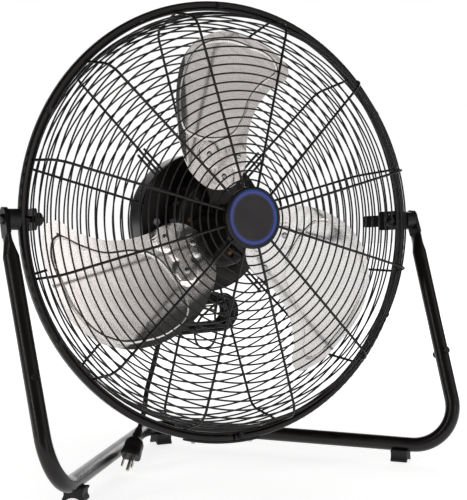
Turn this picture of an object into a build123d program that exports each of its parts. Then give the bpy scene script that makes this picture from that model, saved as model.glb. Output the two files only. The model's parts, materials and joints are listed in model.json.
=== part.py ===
from build123d import *
import os
from math import asin, degrees, radians, sqrt, tan

# A high-velocity floor fan: a round wire-caged head that tilts in a bent-tube floor stand.
# Millimetres, +Z up, standing on z = 0. The fan blows towards -Y, +X is on its viewer's right.

# Tilt axis: it runs along X through the middle of the rim. The head leans back a little at rest,
# and what hangs from it or is fixed to the stand is placed upright.
PIVOT_Y = -43.04
PIVOT_Z = 318.0
REST_TILT = 3.25
HEAD = Location((0, PIVOT_Y, PIVOT_Z), (-REST_TILT, 0, 0))
UPRIGHT = Location((0, PIVOT_Y, PIVOT_Z))

# Rim: a rolled channel, open towards the fan's axis
RIM_R = 280.0
RIM_DEPTH = 8.5
RIM_WIDTH = 11.0
RIM_WALL = 1.2
RIM_CLIP_ANGLES = (32, 92, 152, 212, 272, 332)
STRAP_ARC = 22.0
STRAP_ANGLE = 267.0
STRAP_THICKNESS = 2.4

# Guards: radial ribs on the outside, rings on the inside, both of round wire
RIB_COUNT = 12
FIRST_RIB_ANGLE = 15
RIB_R = 1.65
RING_R = 1.1
RING_PITCH = 10.4
END_RING_R = 1.8
END_RING_RADIUS = 273.0
END_RING_Y = 2.3
RIB_EDGE_RADIUS = END_RING_RADIUS - END_RING_R - RIB_R
FRONT_CORNER = (256.5, -47.5)
FRONT_CENTRE = (30.0, -58.9)
FRONT_BEND = 22.0
REAR_CORNER = (256.0, 61.0)
REAR_CENTRE = (78.0, 66.0)
REAR_BEND = 16.0

# Badge at the front of the guard
BADGE_R = 38.5
BADGE_RING_OUTER = 34.3
BADGE_RING_INNER = 29.0
BADGE_BACK_Y = -61.0
HUB_PLATE_Y = -56.6

# Rotor: blades are drawn flat as (across, outwards) for the one at the top. Their front edge curls forward.
BLADE_COUNT = 3
BLADE_PITCH = 12.7
BLADE_THICKNESS = 1.5
BLADE_CAMBER_R = 1500.0
BLADE_PLANE_Y = 7.0
CURL_START = -60.0
CURL_R = 55.0
BEAD_HEIGHT = 0.9
PAD_HEIGHT = 0.7
PAD_R = 17.0
RIVETS = ((-26, 83.5), (24, 83.5), (-1, 56))
SHAFT_R = 5.0
HUB_R = 21.0
HUB_FRONT_Y = -16.0
HUB_REAR_Y = 12.5

# Motor
MOTOR_R = 60.0
MOTOR_FRONT_Y = 18.0
PLATE_FRONT_Y = 61.9
PLATE_THICKNESS = 2.0
COVER_R = 92.0
COVER_FRONT_Y = 67.8
COVER_REAR_Y = 112.0
COVER_WALL = 2.0
MOTOR_BOLT_CIRCLE_R = 72.0
BEARING_R = 12.0
BEARING_BOSS_DEPTH = 3.0
STATOR_FRONT_Y = 30.2
STATOR_REAR_Y = 51.2
STATOR_BORE_R = 34.0
AIR_GAP = 0.6
KNOB_Z = -48.0
KNOB_SHAFT_R = 3.0
KNOB_R = 15.0

# Stand
TUBE_R = 9.5
TUBE_WALL = 1.2
TUBE_Z = 22.0
BEND_R = 50.0
LEG_X = 296.5
CORNER_X = 284.0
FRONT_REACH = 125.5
REAR_REACH = 215.5
LEG_JOINT_Z = 131.0
SPIGOT_LENGTH = 40.0
FRONT_FOOT_FROM_CORNER = 82.0
TAB_THICKNESS = 5.2
TAB_WIDTH = 20.0
FOOT_LENGTH = 21.5
FOOT_WIDTH = 26.0
FOOT_HEIGHT = 15.0
BOLT_R = 3.0

# Power cord
CORD_R = 3.25
CORD_STEP = 7.2
HANK_HALF_RUN = 30.0
HANK_LEVELS = (24.75, 21.15, 17.55, 13.95)
HANK_CENTRE = (7.0, 80.0, -128.0)
STRAIN_X = HANK_CENTRE[0] - HANK_HALF_RUN - HANK_LEVELS[0] - CORD_STEP / 4
STRAIN_Y = HANK_CENTRE[1] + 3 * CORD_STEP
GLAND_TOP = -66.0
GLAND_END = -94.0
PLUG_TOP = Vector(-97, 53.5, -267)
PLUG_WAY = Vector(-0.50, -0.43, -0.75).normalized()

# Fits: moving pieces run this far apart, and fixed ones are seated with a hair's gap
RUNNING_GAP = 0.3
SEAT = 0.05

# Pivots
BRACKET_X = 263.0
BRACKET_THICKNESS = 2.5
SLEEVE_R = 3.9
SPACER_OUTER_X = LEG_X - TAB_THICKNESS / 2 - RUNNING_GAP
NUT_X = BRACKET_X - BRACKET_THICKNESS - RUNNING_GAP

parts = {}


def polar(shape, angles):
    """Copies of a shape turned about the fan's axis, angles counter-clockwise as seen from the front."""
    return [Rot(0, -angle, 0) * shape for angle in angles]


def spread(count, first=0.0):
    return [first + 360.0 * k / count for k in range(count)]


def turned(profile, arc=360.0):
    """A solid of revolution about the fan's axis from a profile drawn as (radius, depth)."""
    return revolve(profile, Axis.Y, revolution_arc=arc)


def wire_section(wire_r):
    """Ring wire is drawn with eight flats, so that several dozen rings stay light."""
    return RegularPolygon(1.06 * wire_r, 8, rotation=22.5)


def ring_of_wire(radius, y, wire_r):
    return turned(Pos(radius, y) * wire_section(wire_r))


def disc(outer, inner, front, rear):
    """A flat washer about the fan's axis."""
    face = Pos((outer + inner) / 2, (front + rear) / 2) * Rectangle(outer - inner, rear - front)
    return turned(face)


def wire_along(path, wire_r):
    return sweep(Plane(origin=path @ 0, z_dir=path % 0) * Circle(wire_r), path=path)


def tube_along(path, outer_r, wall):
    section = Plane(origin=path @ 0, z_dir=path % 0)
    return sweep(section * Circle(outer_r) - section * Circle(outer_r - wall), path=path)


def rod(start, end, radius):
    return wire_along(Line(start, end), radius)


def both_sides(name, shape):
    """The piece on the viewer's right and its mirror image on the left."""
    parts[name + "_right"] = shape
    parts[name + "_left"] = mirror(shape, about=Plane.YZ)


def group(shapes):
    return Compound([solid for shape in shapes for solid in shape.solids()])


# Rim and the strap and clips on it

def rim_band():
    middle = RIM_R - RIM_DEPTH / 2
    outer = Pos(middle, 0) * RectangleRounded(RIM_DEPTH, RIM_WIDTH, 3)
    cavity = Pos(middle - RIM_WALL, 0) * RectangleRounded(RIM_DEPTH, RIM_WIDTH - 2 * RIM_WALL, 1.8)
    band = turned(outer - cavity)
    band -= Rot(0, 90, 0) * Cylinder(BOLT_R + 0.1, 2.2 * RIM_R)
    joint_gap = 3.0
    return band - Pos(0, 0, -RIM_R) * Box(joint_gap, 2 * RIM_WIDTH, 4 * RIM_DEPTH)


def rim_strap():
    profile = Pos(RIM_R + SEAT + STRAP_THICKNESS / 2, 0) * Rectangle(STRAP_THICKNESS, 9)
    return Rot(0, -(STRAP_ANGLE - STRAP_ARC / 2) - STRAP_ARC, 0) * turned(profile, STRAP_ARC)


def rim_strap_screws():
    top = RIM_R + SEAT + STRAP_THICKNESS
    head = Pos(top + 1, 0, 0) * Rot(0, 90, 0) * Cylinder(2.6, 2)
    return group(polar(head, (STRAP_ANGLE - 0.38 * STRAP_ARC, STRAP_ANGLE + 0.38 * STRAP_ARC)))


def rim_clips():
    front = -RIM_WIDTH / 2
    clip = Pos(RIM_R - 5.5, front - 1, 0) * Box(8, 2, 7)
    clip = fillet(clip.edges().filter_by(Axis.Y), 2)
    clip += Pos(RIM_R - 5.5, front - 2.6, 0) * Rot(90, 0, 0) * Cylinder(2.2, 1.4)
    return group(polar(clip, RIM_CLIP_ANGLES))


parts["rim_band"] = HEAD * rim_band()
parts["rim_joint_strap"] = HEAD * rim_strap()
parts["rim_joint_screws"] = HEAD * rim_strap_screws()
parts["rim_clips"] = HEAD * rim_clips()


# Wire guards

def guard_ribs(side, corner, centre, bend):
    start = (RIB_EDGE_RADIUS, side * 0.4)
    path = FilletPolyline(start, corner, centre, radius=bend)
    return path, polar(wire_along(path, RIB_R), spread(RIB_COUNT, FIRST_RIB_ANGLE))


def guard_rings(side, path, innermost):
    """Rings laid against the inside of the ribs, evenly spaced along them."""
    rings = []
    distance = 1.25 * RING_PITCH
    while True:
        point = path.position_at(distance, position_mode=PositionMode.LENGTH)
        along = path.tangent_at(distance, position_mode=PositionMode.LENGTH)
        inward = Vector(along.Y, -along.X) * side
        centre = point - inward * (RIB_R + RING_R)
        if centre.X < innermost:
            return rings
        rings.append(ring_of_wire(centre.X, centre.Y, RING_R))
        distance += RING_PITCH


def end_ring(side):
    """The guard's edge ring inside the rim, in two halves that stop short of the pivot sleeves."""
    clear_angle = 1.0
    profile = Pos(END_RING_RADIUS, side * END_RING_Y) * wire_section(END_RING_R)
    return polar(turned(profile, 180 - 2 * clear_angle), (-clear_angle, 180 - clear_angle))


front_path, front_ribs = guard_ribs(-1, FRONT_CORNER, FRONT_CENTRE, FRONT_BEND)
rear_path, rear_ribs = guard_ribs(1, REAR_CORNER, REAR_CENTRE, REAR_BEND)
front_rings = guard_rings(-1, front_path, BADGE_R + 4)
rear_rings = guard_rings(1, rear_path, COVER_R + 4)
parts["front_guard"] = HEAD * group(front_ribs + front_rings + end_ring(-1))
parts["rear_guard"] = HEAD * group(rear_ribs + rear_rings + end_ring(1))


# Motor stays: pairs of short wires beside the four diagonal ribs of the rear guard

def motor_stays():
    spacing = 6.0
    stay_start, stay_end = 84.0, 128.0
    slope = (REAR_CENTRE[1] - REAR_CORNER[1]) / (REAR_CORNER[0] - REAR_CENTRE[0])
    pair = []
    for offset in (-spacing, spacing):
        ends = [(r, REAR_CENTRE[1] - slope * (r - REAR_CENTRE[0]), offset) for r in (stay_start, stay_end)]
        pair.append(rod(ends[0], ends[1], RIB_R))
    return group([copy for stay in pair for copy in polar(stay, spread(4, 45))])


parts["motor_stays"] = HEAD * motor_stays()


# Badge: a cap that clamps the ribs against a plate behind them

def badge_cap():
    face_y = BADGE_BACK_Y - 2.6
    rim_y = BADGE_BACK_Y - 5.0
    recess_r = BADGE_RING_OUTER + SEAT
    profile = Polyline((0, BADGE_BACK_Y), (BADGE_R, BADGE_BACK_Y), (BADGE_R, rim_y + 2),
                       (BADGE_R - 2, rim_y), (recess_r, rim_y), (recess_r, face_y), (0, face_y), close=True)
    return turned(make_face(profile))


parts["badge_cap"] = HEAD * badge_cap()
face_depths = (BADGE_BACK_Y - 3.8, BADGE_BACK_Y - 2.6)
parts["badge_ring"] = HEAD * disc(BADGE_RING_OUTER, BADGE_RING_INNER + SEAT, *face_depths)
parts["badge_disc"] = HEAD * disc(BADGE_RING_INNER, 0, *face_depths)
parts["guard_hub_plate"] = HEAD * disc(BADGE_R - 1, 6, HUB_PLATE_Y, HUB_PLATE_Y + 1.6)


# Rotor: stamped blades, riveted to the arms of a hub

def blade_outline():
    return make_face(Spline((24, 51), (37, 73), (39, 97), (55, 143), (82, 174), (116, 200), (98, 222),
                            (58, 238), (12, 245), (-21, 238), (-48, 223), (-75, 186), (-83, 125), (-64, 70),
                            (-40, 46), (-6, 39), periodic=True))


def bead_outline():
    """The stiffening bead follows the blade's edge and closes above the rivets."""
    return make_face(Spline((-48, 106), (-68, 115), (-75, 142), (-67, 180), (-43, 216), (0, 232), (50, 228),
                            (88, 215), (95, 203), (72, 185), (48, 163), (31, 130), (15, 112), (-18, 104),
                            periodic=True))


def sheet(front, rear):
    """The blade's bent section, drawn end on as (across, depth), between two depths."""
    camber = Pos(0, -BLADE_CAMBER_R) * (Circle(BLADE_CAMBER_R + rear) - Circle(BLADE_CAMBER_R + front))
    curl = Pos(0, -CURL_R) * (Circle(CURL_R + rear) - Circle(CURL_R + front))
    hinge_depth = sqrt(BLADE_CAMBER_R**2 - CURL_START**2) - BLADE_CAMBER_R
    hinge = Pos(CURL_START, hinge_depth) * Rot(0, 0, degrees(asin(-CURL_START / BLADE_CAMBER_R)))
    flat_side = hinge * Pos(150, 0) * Rectangle(300, 60)
    curl_side = hinge * Pos(-25, 5 - CURL_R / 2) * Rectangle(50, CURL_R + 10)
    return extrude((camber & flat_side) + (hinge * curl & curl_side), 300)


def stamped(outline, front, rear):
    """The part of the bent sheet inside an outline, set at the blade's pitch."""
    block = extrude(Plane.XZ * outline, 150, both=True)
    return Pos(0, BLADE_PLANE_Y, 0) * Rot(0, 0, BLADE_PITCH) * (block & sheet(front, rear))


def blade():
    outline = blade_outline()
    bead = bead_outline()
    middle = bead.center()
    bead -= Pos(*middle) * scale(Pos(*(-middle)) * bead, 0.95)
    pad = make_face(Polyline(*RIVETS, close=True))
    for spot in RIVETS:
        pad += Pos(*spot) * Circle(PAD_R)
    body = stamped(outline, 0, BLADE_THICKNESS)
    body += stamped(bead, -BEAD_HEIGHT, 0.5)
    body += stamped(pad & outline, -PAD_HEIGHT, 0.5)
    for spot in RIVETS:
        body -= stamped(Pos(*spot) * Circle(2.6), -5, 5)
    return body


def spider():
    """Hub barrel with an arm behind each blade's root."""
    arm_outline = make_face(Polyline((-41, 98), (33, 98), (16, 2), (-18, 2), close=True))
    arm_outline = fillet(arm_outline.vertices().group_by(Axis.Y)[-2:], 13)
    arm = stamped(arm_outline, BLADE_THICKNESS + SEAT, BLADE_THICKNESS + 2.5)
    for spot in RIVETS:
        arm -= stamped(Pos(*spot) * Circle(2.6), -5, 8)
    barrel = disc(HUB_R, 0, HUB_FRONT_Y, HUB_REAR_Y)
    for copy in polar(arm, spread(BLADE_COUNT)):
        barrel += copy
    return barrel - disc(SHAFT_R + SEAT, 0, -60, 60)


def rivets():
    each = []
    for spot in RIVETS:
        shank = stamped(Pos(*spot) * Circle(2.5), -1.2, 5.2)
        each.append(shank + stamped(Pos(*spot) * Circle(4.2), -PAD_HEIGHT - 1.7, -PAD_HEIGHT - SEAT))
    return group([copy for rivet in each for copy in polar(rivet, spread(BLADE_COUNT))])


one_blade = blade()
for number, angle in enumerate(spread(BLADE_COUNT), 1):
    parts[f"blade_{number}"] = HEAD * (Rot(0, -angle, 0) * one_blade)
parts["hub_spider"] = HEAD * spider()
parts["blade_rivets"] = HEAD * rivets()
parts["rotor_shaft"] = HEAD * disc(SHAFT_R, 0, HUB_FRONT_Y - 9, PLATE_FRONT_Y + 9)


def hub_nut():
    nut = extrude(RegularPolygon(9, 6), 3.5, both=True)
    nut = Pos(0, HUB_FRONT_Y - 3.5 - SEAT, 0) * Rot(90, 0, 0) * nut
    return nut - disc(SHAFT_R + SEAT, 0, -60, 0)


parts["hub_nut"] = HEAD * hub_nut()


# Motor

def motor_shell():
    wall = 2.0
    shell = disc(MOTOR_R, 0, MOTOR_FRONT_Y, PLATE_FRONT_Y)
    shell = fillet(shell.edges().group_by(Axis.Y)[0], 6)
    shell -= disc(MOTOR_R - wall, 0, MOTOR_FRONT_Y + wall, PLATE_FRONT_Y + 1)
    shell += disc(BEARING_R + 4, 0, MOTOR_FRONT_Y - BEARING_BOSS_DEPTH, MOTOR_FRONT_Y + wall)
    shell -= disc(BEARING_R, 0, MOTOR_FRONT_Y - 5, MOTOR_FRONT_Y + 5)
    front_slot = Pos(37, MOTOR_FRONT_Y, 0) * Rot(90, 0, 0) * extrude(SlotOverall(26, 7), 10, both=True)
    side_slot = extrude(Rot(0, 0, 90) * SlotOverall(26, 6), 5, both=True)
    side_slot = Pos(MOTOR_R, 41, 0) * Rot(0, 90, 0) * side_slot
    for copy in polar(front_slot, spread(10)) + polar(side_slot, spread(16)):
        shell -= copy
    return shell


def bearing(front, rear):
    return disc(BEARING_R - SEAT, SHAFT_R + 0.06, front, rear)


def stator_windings():
    coils = []
    for y in (25.2, 56.4):
        coils.append(ring_of_wire(44, y, 4.8))
    return group(coils)


def motor_bolts():
    bolt = disc(2.4, 0, PLATE_FRONT_Y - 1, 76)
    head = Pos(0, PLATE_FRONT_Y - 1.6, 0) * Rot(90, 0, 0) * Cylinder(4.5, 3.2)
    return group(polar(Pos(MOTOR_BOLT_CIRCLE_R, 0, 0) * (bolt + head), spread(4)))


def motor_plate():
    plate = disc(COVER_R, BEARING_R, PLATE_FRONT_Y, PLATE_FRONT_Y + PLATE_THICKNESS)
    for copy in polar(Pos(MOTOR_BOLT_CIRCLE_R, 0, 0) * disc(2.45, 0, 50, 80), spread(4)):
        plate -= copy
    return plate


def cord_gland(allowance=0.0):
    """Moulded strain relief through the rear cover's wall, where the cord comes out."""
    top = Pos(STRAIN_X, STRAIN_Y, GLAND_TOP) * Circle(7 + allowance)
    end = Pos(STRAIN_X, STRAIN_Y, GLAND_END) * Circle(4.6 + allowance)
    return loft([top, end])


def rear_cover():
    """A deep drawn cup behind the guard, with cooling louvres and the holes for the knob and the cord."""
    cup = disc(COVER_R, 0, COVER_FRONT_Y, COVER_REAR_Y)
    cup = fillet(cup.edges().group_by(Axis.Y)[-1], 14)
    cavity = disc(COVER_R - COVER_WALL, 0, COVER_FRONT_Y - 1, COVER_REAR_Y - COVER_WALL)
    cup -= fillet(cavity.edges().group_by(Axis.Y)[-1], 12)
    slot = Pos(62, COVER_REAR_Y, 0) * Rot(90, 0, 0) * extrude(SlotOverall(24, 5), 6, both=True)
    for copy in polar(slot, [angle for angle in spread(24, 7.5) if not 235 <= angle <= 305]):
        cup -= copy
    boss = disc(7, 0, COVER_FRONT_Y, COVER_REAR_Y - 1)
    for copy in polar(Pos(MOTOR_BOLT_CIRCLE_R, 0, 0) * boss, spread(4)):
        cup += copy
    for copy in polar(Pos(MOTOR_BOLT_CIRCLE_R, 0, 0) * disc(2.45, 0, 60, 76 + SEAT), spread(4)):
        cup -= copy
    cup -= Pos(0, 0, KNOB_Z) * disc(KNOB_SHAFT_R + 0.06, 0, 100, 120)
    return cup - HEAD.inverse() * UPRIGHT * cord_gland(SEAT)


parts["motor_plate"] = HEAD * motor_plate()
parts["motor_shell"] = HEAD * motor_shell()
parts["motor_rear_cover"] = HEAD * rear_cover()
parts["motor_bolts"] = HEAD * motor_bolts()
parts["stator_core"] = HEAD * disc(MOTOR_R - 2 - SEAT, STATOR_BORE_R, STATOR_FRONT_Y, STATOR_REAR_Y)
parts["stator_windings"] = HEAD * stator_windings()
parts["rotor_core"] = HEAD * disc(STATOR_BORE_R - AIR_GAP, SHAFT_R + SEAT, STATOR_FRONT_Y, STATOR_REAR_Y)
parts["bearing_front"] = HEAD * bearing(MOTOR_FRONT_Y - BEARING_BOSS_DEPTH, MOTOR_FRONT_Y + 4)
parts["bearing_rear"] = HEAD * bearing(PLATE_FRONT_Y, PLATE_FRONT_Y + 7)


# Speed switch at the back

def speed_knob():
    front = COVER_REAR_Y + RUNNING_GAP
    skirt = disc(KNOB_R, 0, front, front + 4)
    grip = fillet(disc(KNOB_R - 3, 0, front, front + 15).edges().group_by(Axis.Y)[-1], 1.5)
    knob = skirt + grip
    flute = Pos(KNOB_R - 1.6, front + 10, 0) * Rot(90, 0, 0) * Cylinder(2, 12)
    for copy in polar(flute, spread(12, 15)):
        knob -= copy
    pointer = Pos(0, front + 15.4, (KNOB_R - 3) / 2) * Box(2, 1.2, KNOB_R - 5)
    return knob + pointer + disc(KNOB_SHAFT_R, 0, COVER_REAR_Y - 12, front + 1)


def switch_body():
    box = Pos(0, COVER_REAR_Y - COVER_WALL - 9 - SEAT, 0) * Box(30, 18, 26)
    return box - disc(KNOB_SHAFT_R + 0.06, 0, COVER_REAR_Y - 13, COVER_REAR_Y)


parts["speed_knob"] = HEAD * (Pos(0, 0, KNOB_Z) * speed_knob())
parts["switch_body"] = HEAD * (Pos(0, 0, KNOB_Z) * switch_body())


# Pivots: a strap bracket inside the cage, a sleeve through the rim, a spacer, and the bolt of the stand

def along_x(radius, start, end):
    return Pos((start + end) / 2, 0, 0) * Rot(0, 90, 0) * Cylinder(radius, end - start)


def pivot_bracket():
    wall_slope = (RIB_EDGE_RADIUS - REAR_CORNER[0]) / REAR_CORNER[1]
    bend_y, tip_y = 8.0, 52.0
    tip_x = BRACKET_X - 1.15 * wall_slope * (tip_y - bend_y)
    inner_x = BRACKET_X - BRACKET_THICKNESS
    plan = Polyline((BRACKET_X, -10), (BRACKET_X, bend_y), (tip_x, tip_y),
                    (tip_x - BRACKET_THICKNESS, tip_y), (inner_x, bend_y), (inner_x, -10), close=True)
    strip = extrude(make_face(plan), 20, both=True)
    pad = Pos(7.5, 0) * RectangleRounded(35, 26, 5)
    tongue = Pos(26, 0) * SlotOverall(58, 16)
    side = Plane.YZ * (pad + tongue)
    bracket = strip & extrude(side, 300)
    bracket += along_x(SLEEVE_R, BRACKET_X - 1, RIM_R - RIM_WALL - 0.8)
    return bracket - along_x(BOLT_R + 0.08, 200, 300)


def pivot_spacer():
    spacer = along_x(12.5, RIM_R + SEAT, SPACER_OUTER_X)
    return spacer - along_x(BOLT_R + 0.08, 200, 300)


def pivot_bolt():
    head_x = LEG_X + TAB_THICKNESS / 2
    bolt = along_x(BOLT_R, NUT_X - 11, head_x)
    head = along_x(6.5, head_x, head_x + 3.6)
    head = fillet(head.edges().sort_by(Axis.X)[-1], 2)
    return bolt + head


def pivot_nut():
    nut = along_x(8, NUT_X - 9, NUT_X)
    nut = chamfer(nut.edges().sort_by(Axis.X)[0], 2)
    return nut - along_x(BOLT_R, NUT_X - 20, NUT_X + 1)


both_sides("pivot_bracket", HEAD * pivot_bracket())
both_sides("pivot_spacer", HEAD * pivot_spacer())
both_sides("pivot_bolt", UPRIGHT * pivot_bolt())
both_sides("pivot_nut", UPRIGHT * pivot_nut())


# Stand: one bent base tube, plugged into an upper leg on each side

PIVOT = Vector(LEG_X, PIVOT_Y, PIVOT_Z)
CORNER = Vector(CORNER_X, PIVOT_Y - FRONT_REACH, TUBE_Z)
APEX = Vector(0, PIVOT_Y + REAR_REACH, TUBE_Z)
LEG_WAY = (PIVOT - CORNER).normalized()
JOINT = CORNER + LEG_WAY * ((LEG_JOINT_Z - TUBE_Z) / LEG_WAY.Z)


def flipped(point):
    return Vector(-point.X, point.Y, point.Z)


def leg_plane(point):
    """A plane square to the right leg, its x axis across the fan."""
    return Plane(origin=point, x_dir=(1, 0, -LEG_WAY.X / LEG_WAY.Z), z_dir=LEG_WAY)


def leg_tube(start, end, outer, inner):
    length = (end - start).length
    plane = leg_plane(start)
    return extrude(plane * (Circle(outer) - Circle(inner)), length)


base_path = FilletPolyline(JOINT, CORNER, APEX, flipped(CORNER), flipped(JOINT), radius=BEND_R)
base_line = wire_along(base_path, TUBE_R + SEAT)

LEG_BOLT_AT = JOINT + LEG_WAY * 12
LEG_BOLT_WAY = (Vector(0, -1, 0) + LEG_WAY * LEG_WAY.Y).normalized()


def leg_bolt_hole(radius):
    return rod(LEG_BOLT_AT - LEG_BOLT_WAY * 20, LEG_BOLT_AT + LEG_BOLT_WAY * 20, radius)


def base_tube():
    """The bent tube with a swaged spigot at each end."""
    tube = tube_along(base_path, TUBE_R, TUBE_WALL)
    neck = leg_tube(JOINT - LEG_WAY * 5, JOINT, TUBE_R - 0.6, TUBE_R - 2.5)
    spigot = leg_tube(JOINT - LEG_WAY * 5, JOINT + LEG_WAY * SPIGOT_LENGTH, TUBE_R - 1.3, TUBE_R - 2.5)
    end = neck + spigot - leg_bolt_hole(2.05)
    return tube + end + mirror(end, about=Plane.YZ)


def upper_leg():
    """Round tube, flattened at the top into a tab for the pivot bolt."""
    tab_way = Vector(0, LEG_WAY.Y, LEG_WAY.Z).normalized()
    tube_end = PIVOT - LEG_WAY * 46
    tab_start = PIVOT - tab_way * 20
    tab_plane = Plane(origin=tab_start, x_dir=(1, 0, 0), z_dir=tab_way)
    tube = leg_tube(JOINT, tube_end, TUBE_R, TUBE_R - TUBE_WALL)
    squeeze = loft([leg_plane(tube_end) * Circle(TUBE_R),
                    tab_plane * RectangleRounded(TAB_THICKNESS, TAB_WIDTH, TAB_THICKNESS / 2 - 0.05)])
    across = Plane(origin=PIVOT, x_dir=tab_way, z_dir=(1, 0, 0))
    shape = Pos(-2.6, 0) * RectangleRounded(34.8, TAB_WIDTH, 9.9)
    shape += Pos(-15, 0) * Rectangle(10, TAB_WIDTH)
    tab = extrude(across * shape, TAB_THICKNESS / 2, both=True)
    hole = Pos(0, PIVOT_Y, PIVOT_Z) * along_x(BOLT_R + SEAT, LEG_X - 20, LEG_X + 20)
    return tube + squeeze + tab - hole - leg_bolt_hole(2.05)


def leg_bolt():
    seat = LEG_BOLT_AT + LEG_BOLT_WAY * TUBE_R
    back = LEG_BOLT_AT - LEG_BOLT_WAY * TUBE_R
    head = rod(seat, seat + LEG_BOLT_WAY * 3, 4.5)
    nut = rod(back, back - LEG_BOLT_WAY * 4, 4.5)
    return head + nut + rod(back, seat, 2)


def foot(at, way):
    """A moulded saddle under the tube, arched below so that it stands on its two edges."""
    place = Plane(origin=(at.X, at.Y, 0), x_dir=way, z_dir=(0, 0, 1))
    end_view = Pos(0, FOOT_HEIGHT / 2) * Rectangle(FOOT_WIDTH, FOOT_HEIGHT)
    end_view -= Pos(0, -9) * Circle(13)
    for side in (-1, 1):
        end_view -= Pos(side * (FOOT_WIDTH / 2 + 5.6), FOOT_HEIGHT * 0.52) * Circle(7.5)
    block = extrude(Plane.YZ * end_view, FOOT_LENGTH / 2, both=True)
    return place * block - base_line


RUN_WAY = (APEX - CORNER).normalized()
FRONT_FOOT = CORNER + RUN_WAY * FRONT_FOOT_FROM_CORNER
REAR_FOOT = base_path.position_at(0.5)

parts["base_tube"] = base_tube()
both_sides("upper_leg", upper_leg())
both_sides("leg_bolt", leg_bolt())
both_sides("foot_front", foot(FRONT_FOOT, RUN_WAY))
parts["foot_rear"] = foot(REAR_FOOT, Vector(1, 0, 0))


# Power cord: a tied hank behind the guard, then a tail that hangs to the plug

def hank_path():
    """Flat loops of two straight runs and two half turns, spiralling in and out through four layers."""
    cx, cy, cz = HANK_CENTRE
    left, right = cx - HANK_HALF_RUN, cx + HANK_HALF_RUN
    outer, second, third, inner = HANK_LEVELS
    runs = [(-outer, 0), (second, 0), (-third, 0), (inner, 1), (-third, 0), (second, 0), (-outer, 1),
            (second, 0), (-third, 0), (inner, 1), (-third, 0), (second, 0)]
    y = cy + 3 * CORD_STEP
    lead_turn = outer + CORD_STEP / 4
    here = Vector(left, y, cz - outer)
    start = here + Vector(-lead_turn, 0, lead_turn)
    edges = [Line(start + Vector(0, 0, 2 * CORD_R), start)]
    edges.append(TangentArc(start, here, tangent=(0, 0, -1)))
    for index, (level, climbs) in enumerate(runs):
        heading = 1 if level < 0 else -1
        far_x = right if level < 0 else left
        if climbs:
            middle = Vector(cx, y - CORD_STEP / 2, cz + level)
            y -= CORD_STEP
            there = Vector(far_x, y, cz + level)
            edges.append(TangentArc(here, middle, tangent=(heading, 0, 0)))
            edges.append(TangentArc(middle, there, tangent=edges[-1] % 1))
        else:
            there = Vector(far_x, y, cz + level)
            edges.append(Line(here, there))
        if index == len(runs) - 1:
            break
        here = Vector(far_x, y, cz + runs[index + 1][0])
        edges.append(TangentArc(there, here, tangent=(heading, 0, 0)))
    turn = second + CORD_STEP / 4
    last = there + Vector(-turn, 0, -turn)
    edges.append(TangentArc(there, last, tangent=(-1, 0, 0)))
    edges.append(Line(last, last - Vector(0, 0, 2 * CORD_R)))
    return Wire([edge for line in edges for edge in line.edges()])


hank_line = hank_path()
HANK_START = hank_line @ 0
HANK_END = hank_line @ 1
TAIL_ROUTE = [HANK_END, HANK_END - Vector(0, 0, 18), (-60, 81, -176), (-71, 80, -199), (-79, 76, -224),
              PLUG_TOP - PLUG_WAY * 24, PLUG_TOP]


def least_gap(path, clear_of=25.0, step=2.0):
    """The smallest clear distance between stretches of a tube further apart along it than clear_of."""
    count = int(path.length / step)
    points = [path.position_at(k / count) for k in range(count + 1)]
    skip = int(clear_of / step)
    gaps = [(points[i] - points[j]).length for i in range(count + 1) for j in range(i + skip, count + 1)]
    return min(gaps) - 2 * CORD_R


def route_radii(points):
    """Each corner's radius: 0.45 of its shorter run over the tangent of half the turn."""
    points = [Vector(p) for p in points]
    radii = []
    for before, corner, after in zip(points, points[1:], points[2:]):
        run_in, run_out = corner - before, after - corner
        turn = run_in.get_angle(run_out)
        radii.append(0.45 * min(run_in.length, run_out.length) / tan(radians(turn / 2)))
    return radii


tail_radii = route_radii(TAIL_ROUTE)
tail_line = FilletPolyline(*TAIL_ROUTE, radius=tail_radii)
parts["cord_hank"] = UPRIGHT * wire_along(hank_line, CORD_R)
parts["cord_tail"] = UPRIGHT * wire_along(tail_line, CORD_R)
print("tail radii", [round(radius, 1) for radius in tail_radii])
print("hank least gap", round(least_gap(hank_line), 2), "length", round(hank_line.length))
print("tail length", round(tail_line.length))


parts["cord_gland"] = UPRIGHT * cord_gland()
parts["cord_lead"] = UPRIGHT * rod((STRAIN_X, STRAIN_Y, GLAND_END), HANK_START, CORD_R)


def plug_body():
    """Moulded plug: a ribbed strain relief, then a body that widens towards the blades."""
    place = Plane(origin=PLUG_TOP, x_dir=(0.8, -0.55, 0), z_dir=PLUG_WAY)
    relief = loft([place * Circle(4.6), place.offset(14) * Circle(6.5)])
    body = loft([place.offset(14) * RectangleRounded(17, 15, 6),
                 place.offset(22) * RectangleRounded(24, 20, 7),
                 place.offset(42) * RectangleRounded(25, 21, 7)])
    return relief + body


def plug_blades():
    place = Plane(origin=PLUG_TOP, x_dir=(0.8, -0.55, 0), z_dir=PLUG_WAY).offset(42)
    blades = [extrude(place * Pos(side * 6.35, 3) * Rectangle(1.5, 6.4), 16) for side in (-1, 1)]
    pin = extrude(place * Pos(0, -8.8 + 3) * Circle(2.4), 17)
    return group(blades + [fillet(pin.edges().sort_by(Axis.Z)[0], 1.2)])


parts["plug_body"] = UPRIGHT * plug_body()
parts["plug_blades"] = UPRIGHT * plug_blades()


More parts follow.
